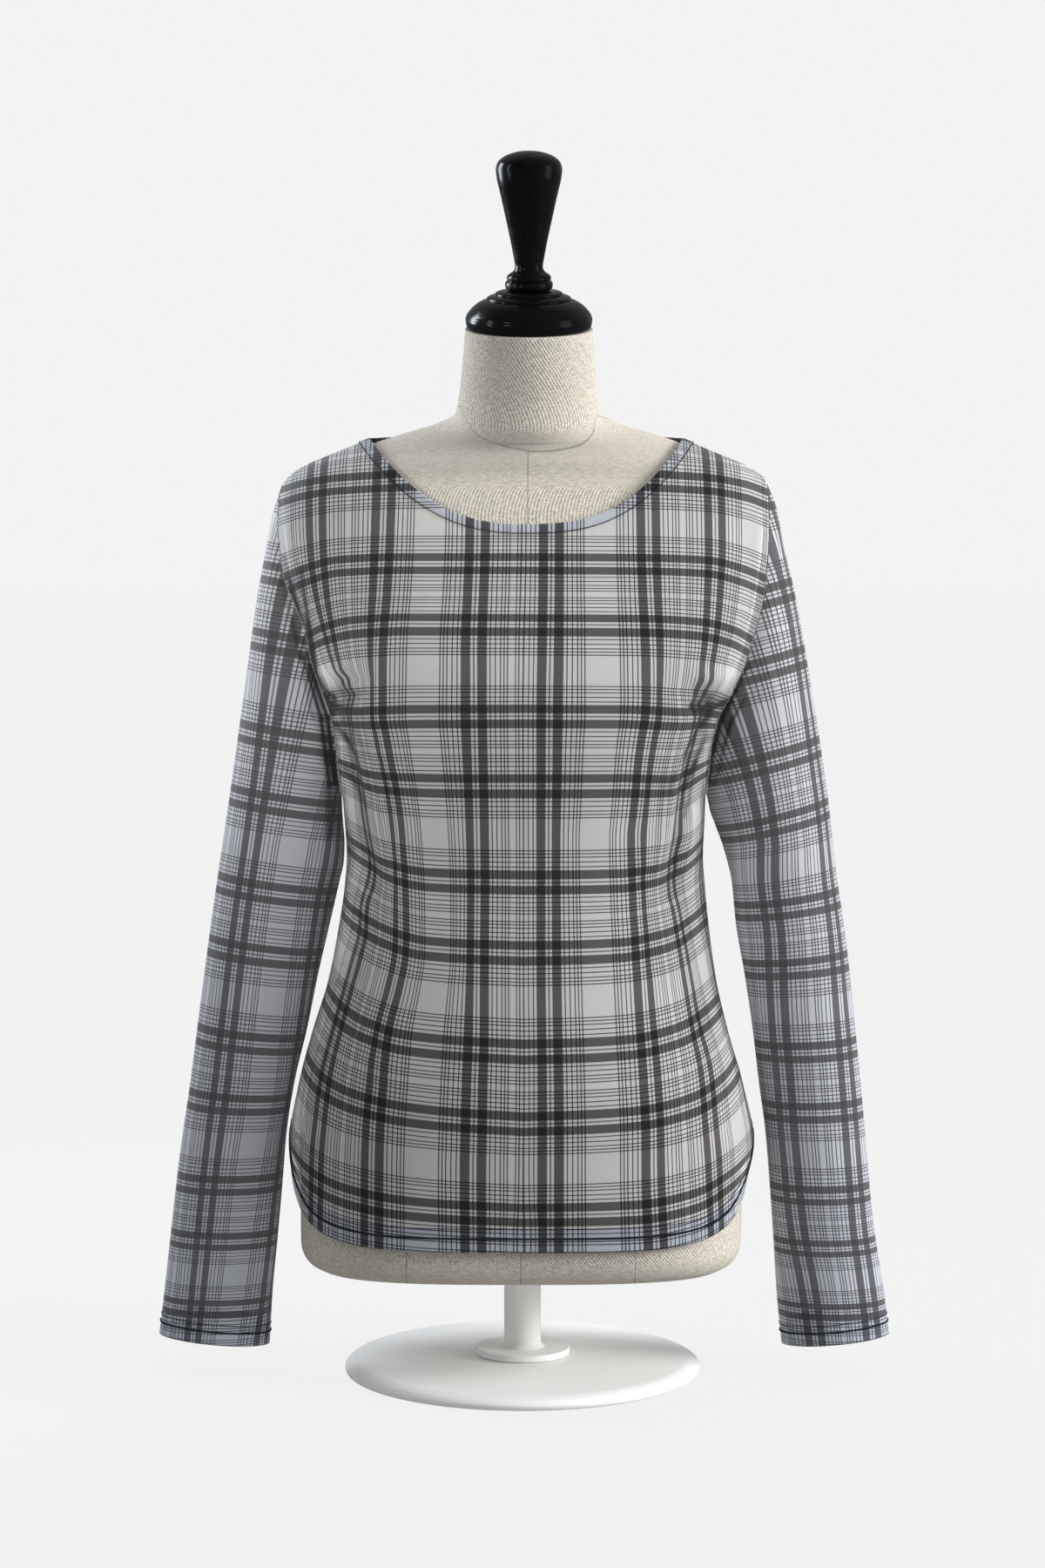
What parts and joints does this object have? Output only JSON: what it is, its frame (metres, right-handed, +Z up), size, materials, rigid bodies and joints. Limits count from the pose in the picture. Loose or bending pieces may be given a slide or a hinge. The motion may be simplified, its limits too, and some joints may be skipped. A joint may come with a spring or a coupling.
{
  "type": "sheer long-sleeve top on a limbless dress form",
  "caption": "Sheer plaid long-sleeve top with a wide bound scoop neck and a curved hem, on a limbless linen dress form with a black turned neck cap and a low stand.",
  "frame": {"origin": "centre of the stand base's underside, on the floor", "axes": "+Z up, -Y towards the front of the top, -X towards the wearer's right"},
  "size_m": [0.5585, 0.272, 0.9196],
  "materials": {
    "linen": "unbleached linen, twill face with slubs",
    "black_lacquer": "turned wood under black gloss lacquer",
    "pale_enamel": "matt off-white enamel",
    "plaid_mesh": "sheer knitted mesh with a grey plaid",
    "binding_mesh": "the same mesh folded double"
  },
  "bodies": {
    "root": {"form_torso": "linen", "neck_cap": "black_lacquer", "cap_handle": "black_lacquer", "stand_base": "pale_enamel", "stand_post": "pale_enamel", "top_front": "plaid_mesh", "top_back": "plaid_mesh", "sleeve_right": "plaid_mesh", "sleeve_left": "plaid_mesh", "neck_binding": "binding_mesh"}
  },
  "joints": []
}
